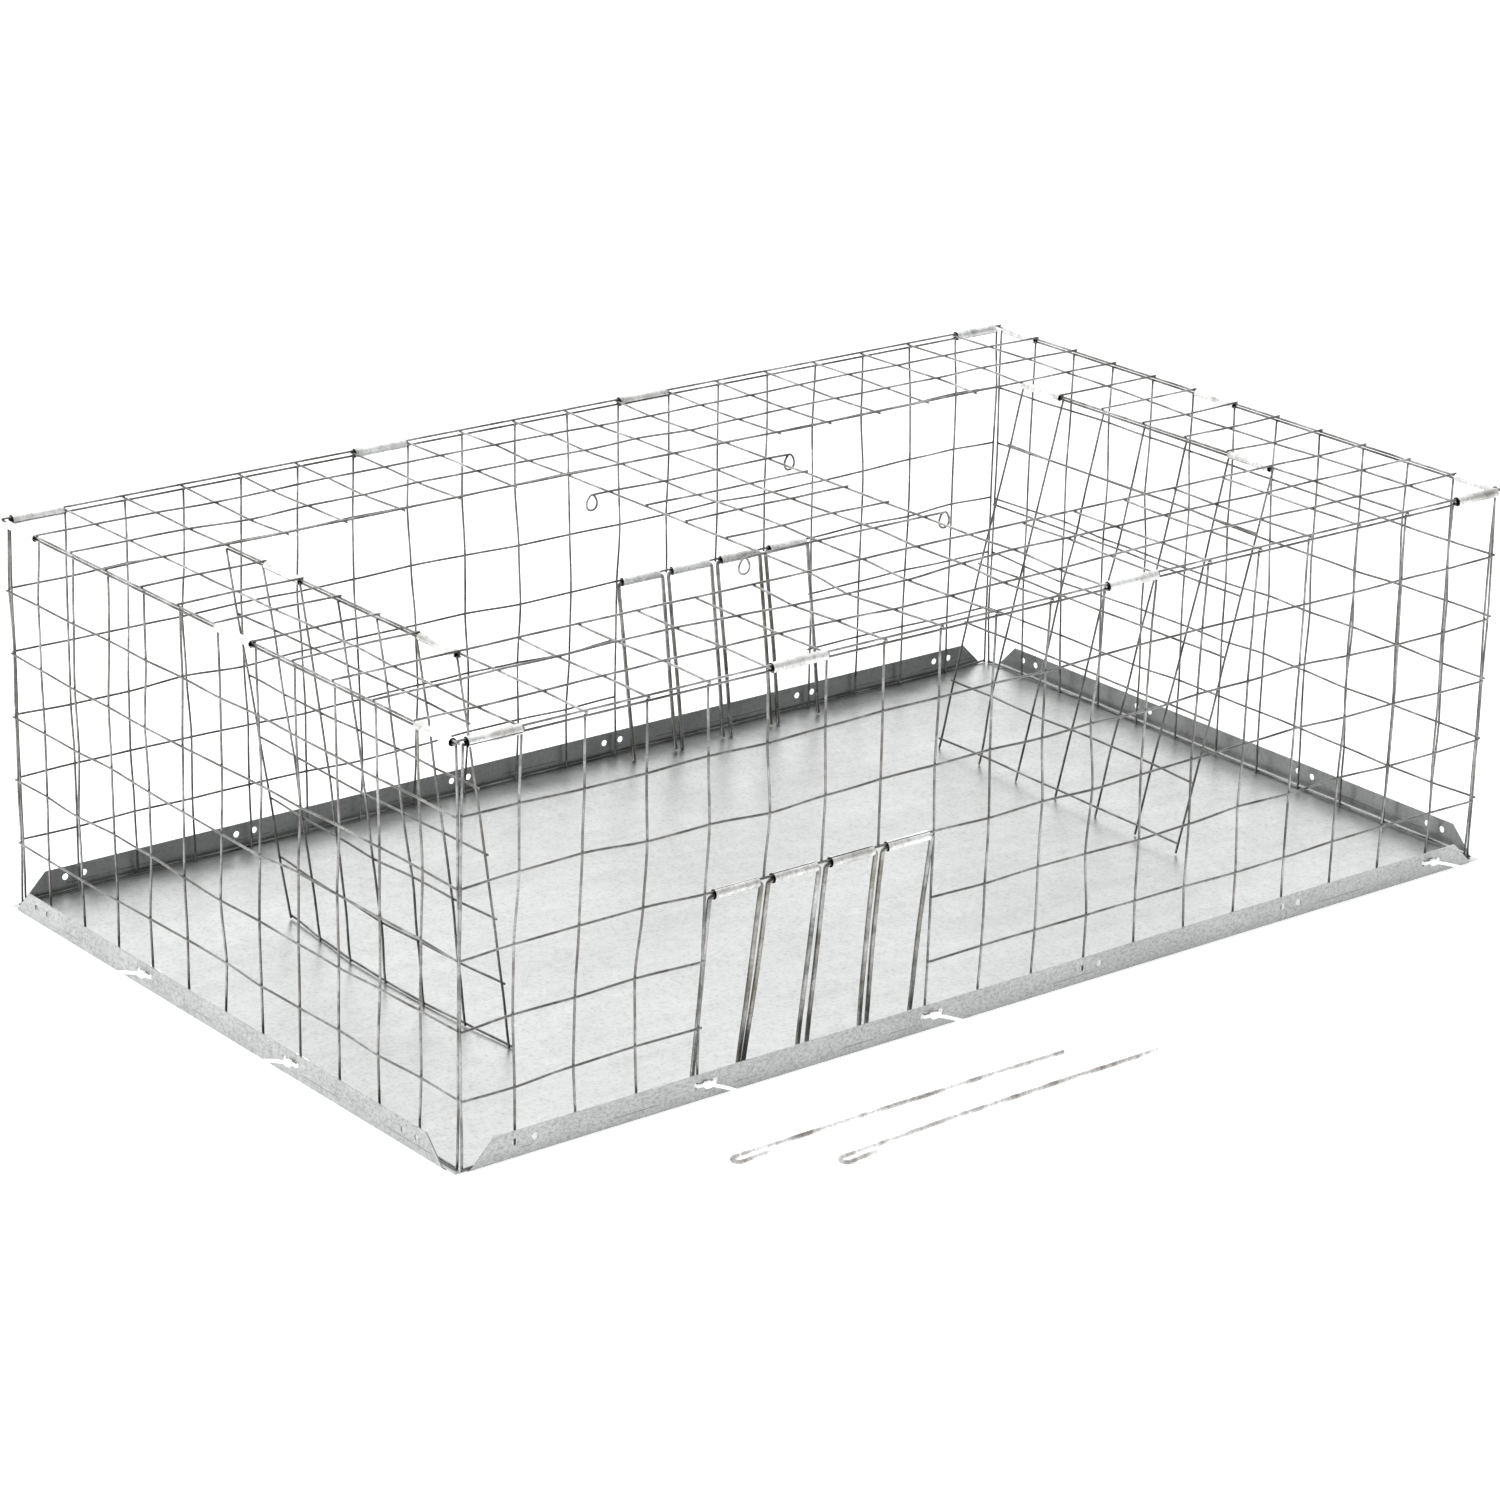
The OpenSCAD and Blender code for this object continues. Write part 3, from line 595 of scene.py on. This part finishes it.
def sleeves():
    """Every sleeve: those that join walls and roof, the doors' and the bobs'."""
    for side, n in (("front", 4), ("back", 4), ("left", 3), ("right", 3)):
        for k in range(1, n + 1):
            sleeve(f"{side}_hinge_sleeve_{k}", RNG.uniform(3.4, 6.0))
    for side in ("left", "right"):
        for k in (1, 2):
            sleeve(f"{side}_door_sleeve_{k}", RNG.uniform(3.4, 6.0))
    for side, seam in (("front", 1.6), ("back", 4.6)):
        for k in range(1, BOBS + 1):
            sleeve(f"{side}_bob_sleeve_{k}", seam + RNG.uniform(-0.4, 0.4))


# ---------------------------------------------------------------- bobs and rods
# How far the feet of each front bob's two legs are bent along the wall, and how much
# shorter than the other the second leg is cut.
FRONT_SPLAY = ((4.4, -0.3, 0), (-2.2, 2.0, 0), (4.2, 7.6, 3.0), (7.4, 2.6, 0))


def bobs():
    """Inverted Us of thick wire, a little out of true, that lean on the tray's flange."""
    for side, s in (("front", -1), ("back", 1)):
        for k in range(1, BOBS + 1):
            node = f"{side}_bob_{k}"
            lo, hi = [np.array(c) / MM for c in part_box(node)]
            x0 = (lo[0] + hi[0]) / 2
            lean = math.radians(BOB_LEAN)
            down = np.array([0, -s * math.sin(lean), -math.cos(lean)])
            leg = (BOB_Z - SHEET - BOB_FOOT_GAP - BOB_R * math.sin(lean)) / math.cos(lean)
            if s < 0:
                splay = FRONT_SPLAY[k - 1]
            else:
                splay = (RNG.uniform(0.2, 1.6), RNG.uniform(-1.6, -0.2), 1.2)
            flat = []
            for e in (-1, 1):
                d = np.linspace(leg - (splay[2] if e > 0 else 0), BOB_BEND, 16)
                free = (d - BOB_BEND) / leg
                bow = -RNG.uniform(0, 0.8) * np.sin(free * np.pi)
                x = e * (BOB_HALF + bow) + splay[0 if e < 0 else 1] * free ** 1.6
                a = np.radians(np.arange(12, 90, 13))
                turn = np.c_[e * (BOB_HALF - BOB_BEND * (1 - np.cos(a))), BOB_BEND * (1 - np.sin(a))]
                flat.append(np.vstack([np.c_[x, d], turn]))
            across = np.linspace(-(BOB_HALF - BOB_BEND), BOB_HALF - BOB_BEND, 9)
            plane = np.vstack([flat[0], np.c_[across, 0 * across], flat[1][::-1]])
            path = np.array([x0, s * W / 2, BOB_Z]) + plane[:, :1] * [1, 0, 0] + plane[:, 1:] * down
            down_leg = plane[:, 1] / leg  # 0 at the bar, 1 at the feet
            path[:, 1] += -s * 0.5 * np.sin(down_leg * 7 + RNG.uniform(0, 6)) * down_leg
            shape = Shape()
            shape.wire(path, BOB_R, 16)
            shape.make(f"{node}_wire", BOB_WIRE, node, "bob_wire", [node], 60)


# The loose rods: how far in from the cage's left end and out from its front wall each
# lies, its turn on the ground in degrees, and how far and how often it waves.
RODS = ((158, 88, 0.0, 0.5, 1), (215, 130, 1.5, 1.6, 1.3))


def lock_rods():
    """Two loose rods with turned-back handles, lying on the ground."""
    r, hook, rod, handle = 1.5, 4.5, 290, 24
    for n, (inward, outward, turn, wave, waves) in enumerate(RODS, 1):
        x = np.linspace(rod, 0, 40)
        y = wave * np.sin(x / rod * math.pi * waves) + 0.25 * np.sin(x / 17 + n)
        a = np.radians(np.arange(98, 265, 12))
        arc = np.c_[hook * np.cos(a), -hook + hook * np.sin(a)]
        xs = np.linspace(1, handle, 9)
        back = np.c_[xs, -2 * hook + 0.9 * np.sin(xs / handle * math.pi) + (xs / handle) ** 2 * 1.6]
        flat = np.vstack([np.c_[x, y], arc, back])
        t = math.radians(turn)
        flat = flat @ np.array([[math.cos(t), math.sin(t)], [-math.sin(t), math.cos(t)]])
        path = np.c_[flat + [inward - L / 2, -W / 2 - outward], np.full(len(flat), r)]
        shape = Shape()
        shape.wire(path, r, 14)
        shape.make(f"lock_rod_{n}_bent", ROD_WIRE, "cage", "bright_wire", [f"lock_rod_{n}"], 60)


# ---------------------------------------------------------------- cable ties
# Each tie: its flange, its number there, the mesh line it goes round, and how far its
# tail curls to the side, in radians.
TIES = (("front", 1, 4, 0.05), ("front", 2, 8, 0.30), ("front", 3, 18, 0.45),
        ("left", 1, 4, -0.15), ("left", 2, 8, -0.35))
HEAD_Y = -LOOP_PLAY - HEAD_T  # the head's outer face, out from the flange


def ribbon(shape, path, width, t, up, taper=0, teeth=0):
    """A strap along a path. It narrows over the last taper mm, and teeth is how much
    narrower every second section is."""
    path = np.asarray(path, float)
    n = len(path)
    h, w = t / 2, width / 2
    section = np.array([(-w, -h * 0.6), (-w * 0.9, -h), (w * 0.9, -h), (w, -h * 0.6),
                        (w, h * 0.6), (w * 0.8, h), (-w * 0.8, h), (-w, h * 0.6)])
    scale = np.ones((n, 1))
    if taper:
        to_end = np.linalg.norm(np.diff(path, axis=0), axis=1)[::-1].cumsum()
        to_end = np.concatenate([[0], to_end])[::-1]
        scale = np.clip(0.45 + to_end / taper * 0.55, 0.45, 1)[:, None]
    scale = scale * (1 - teeth * (np.arange(n) % 2))[:, None]
    shape.sweep(path, section, up, scale)


def tie_loop(shape, depth):
    """The strap: in through one hole, behind the upright wire, out through the other."""
    hx, bend, spacing = TIE_HOLES / 2, 1.6, 0.9
    lo, hi = -STRAP_T / 2 - LOOP_PLAY, depth + R + LOOP_PLAY + STRAP_T / 2
    loop = [(0.0, lo)]
    for x, y, sx, sy in ((hx, lo, -1, 1), (hx, hi, -1, -1), (-hx, hi, 1, -1), (-hx, lo, 1, 1)):
        start = math.atan2(-sy, -sx)
        for q in np.radians(np.linspace(-45, 45, 5)):
            loop.append((x + bend * (sx + math.cos(start + q)), y + bend * (sy + math.sin(start + q))))
    loop = np.array(loop + [(0.0, lo)])
    fine = []
    for p, q in zip(loop, loop[1:]):
        m = max(1, int(np.linalg.norm(q - p) / spacing))
        fine += [p + (q - p) * e / m for e in range(m)]
    fine = np.array(fine + [loop[-1]])
    ribbon(shape, np.c_[fine, np.zeros(len(fine))], STRAP_W, STRAP_T * 0.9, (0, 1, 0))


def tie_block(shape, xs, ys, zs):
    """A block between these limits, with rounded corners and chamfered ends along y."""
    r = min(0.5, (xs[1] - xs[0]) / 5, (zs[1] - zs[0]) / 5)
    corners = ((xs[1] - r, zs[1] - r, 0), (xs[0] + r, zs[1] - r, 90),
               (xs[0] + r, zs[0] + r, 180), (xs[1] - r, zs[0] + r, 270))
    ring = []
    for x, z, start in corners:
        for q in np.radians(start + np.array((0, 30, 60, 90))):
            ring.append((x + r * math.cos(q), z + r * math.sin(q)))
    ring, middle = np.array(ring), np.array([sum(xs), sum(zs)]) / 2
    chamfer = min(0.3, (ys[1] - ys[0]) / 4)
    verts = []
    for y, size in ((ys[0], 0.9), (ys[0] + chamfer, 1.0), (ys[1] - chamfer, 1.0), (ys[1], 0.93)):
        flat = middle + (ring - middle) * size
        verts.append(np.c_[flat[:, 0], np.full(len(ring), y), flat[:, 1]])
    shape.add(np.concatenate(verts), tube_faces(len(verts), len(ring)))


def tie_head(shape):
    """A rounded block with a ridge above and below the strap's way in, and a pawl."""
    y, sunk = HEAD_Y, 0.4
    tie_block(shape, (-HEAD_L / 2, HEAD_L / 2), (y, y + HEAD_T), (-HEAD_W / 2, HEAD_W / 2))
    for zs in ((-1.7, -1.2), (1.2, 1.7)):
        tie_block(shape, (-1.5, 1.5), (y - 0.25, y + sunk), zs)
    tie_block(shape, (-0.9, 0.9), (y - 0.15, y + sunk), (-0.6, 0.9))


def tie_tail(shape, turn, curl):
    """The tail leaves the head to one side and droops; its end is a thin tongue."""
    spacing = 0.65
    s = np.arange(0, TAIL_L + 0.01, spacing)
    heading = turn + curl * (s / TAIL_L) ** 2
    step = np.c_[np.sin(heading), -np.cos(heading)] * spacing
    flat = np.vstack([[0, 0], np.cumsum(step, 0)[:-1]])
    bend = TAIL_L ** 2 / TIE_Z  # at this radius the tip hangs half way to the ground
    tail = np.c_[flat[:, 0], HEAD_Y + HEAD_T / 2 + flat[:, 1], -bend * (1 - np.cos(s / bend))]
    ribbon(shape, tail, STRAP_W, STRAP_T, (math.cos(turn), math.sin(turn), 0.15), 9, 0.05)


def ties():
    """The ties, each made at the origin as on the front flange and then moved."""
    for side, k, line, curl in TIES:
        shape = Shape()
        if side == "front":
            tie_loop(shape, TRAY_W / 2 - (W / 2 - LAYER))
        else:
            tie_loop(shape, TRAY_L / 2 - (L / 2 - LAYER))
        tie_head(shape)
        tie_tail(shape, math.radians(40 if side == "front" else -60), curl)
        pts = np.concatenate(shape.verts)
        if side == "front":
            pts = pts + [line_x[line], -TRAY_W / 2, TIE_Z]
        else:
            pts = np.c_[-TRAY_L / 2 + pts[:, 1], line_y[line] - pts[:, 0], TIE_Z + pts[:, 2]]
        shape.verts = [pts]
        node = f"{side}_cable_tie_{k}"
        shape.make(f"{node}_strap", NYLON, "cage", "nylon", [node], 35)


# ---------------------------------------------------------------- build
long_wall("front", -1)
long_wall("back", 1)
end_wall("left", -1)
end_wall("right", 1)
top()
door("left", -1, 1, (6.0, -1, 9.0))
door("right", 1, 8, (5.0, 1, 2.5))
sleeves()
bobs()
lock_rods()
ties()

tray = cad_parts["tray"]
tray.data.materials.clear()
tray.data.materials.append(TRAY)

# ---------------------------------------------------------------- floor and light
FLOOR_HALF, FLOOR_Z = 12, -2e-4
floor_mesh = bpy.data.meshes.new("floor")
floor_mesh.from_pydata([(x * FLOOR_HALF, y * FLOOR_HALF, FLOOR_Z)
                        for x, y in ((-1, -1), (1, -1), (1, 1), (-1, 1))], [], [(0, 1, 2, 3)])
floor = bpy.data.objects.new("floor", floor_mesh)
bpy.context.scene.collection.objects.link(floor)
# White paper that glows a little, so that it stays white all round the trap.
paper = bpy.data.materials.new("floor_paper")
paper.use_nodes = True
for socket, value in (("Base Color", (0.93, 0.93, 0.93, 1)), ("Roughness", 0.9),
                      ("Emission Color", (1, 1, 1, 1)), ("Emission Strength", 0.60)):
    paper.node_tree.nodes["Principled BSDF"].inputs[socket].default_value = value
floor_mesh.materials.append(paper)

# Bright behind the trap, dark on the near side. AWAY points level from the camera to
# the trap; the ramp's stops are along it, 0 at the camera's side and 1 at the far side.
AWAY = (0.63, 0.777, 0)
NEAR, NEAR_COLOR = 0.35, (0.12, 0.125, 0.13, 1)
FAR, FAR_COLOR = 0.85, (1, 1, 1, 1)
world = bpy.data.worlds.new("studio")
bpy.context.scene.world = world
world.use_nodes = True
nodes, links = world.node_tree.nodes, world.node_tree.links
coord = nodes.new("ShaderNodeTexCoord")
along = nodes.new("ShaderNodeVectorMath")
along.operation = "DOT_PRODUCT"
along.inputs[1].default_value = AWAY
links.new(coord.outputs["Generated"], along.inputs[0])
remap = nodes.new("ShaderNodeMapRange")
remap.inputs["From Min"].default_value = -1
links.new(along.outputs["Value"], remap.inputs["Value"])
ramp = nodes.new("ShaderNodeValToRGB")
for stop, at, color in zip(ramp.color_ramp.elements, (NEAR, FAR), (NEAR_COLOR, FAR_COLOR)):
    stop.position, stop.color = at, color
links.new(remap.outputs[0], ramp.inputs["Fac"])
background = nodes["Background"]
background.inputs["Strength"].default_value = 1.55
links.new(ramp.outputs["Color"], background.inputs["Color"])


def softbox(name, where, size, watts):
    """A rectangular lamp that points at the trap's middle."""
    data = bpy.data.lights.new(name, "AREA")
    data.shape, data.size, data.size_y, data.energy = "RECTANGLE", size[0], size[1], watts
    o = bpy.data.objects.new(name, data)
    o.location = where
    o.rotation_euler = (Vector((0, 0, 0.1)) - Vector(where)).to_track_quat("-Z", "Y").to_euler()
    bpy.context.scene.collection.objects.link(o)


softbox("overhead", (-0.4, 0.9, 3.2), (4.0, 3.4), 70)
softbox("side", (-2.3, -0.1, 1.9), (1.0, 1.0), 40)
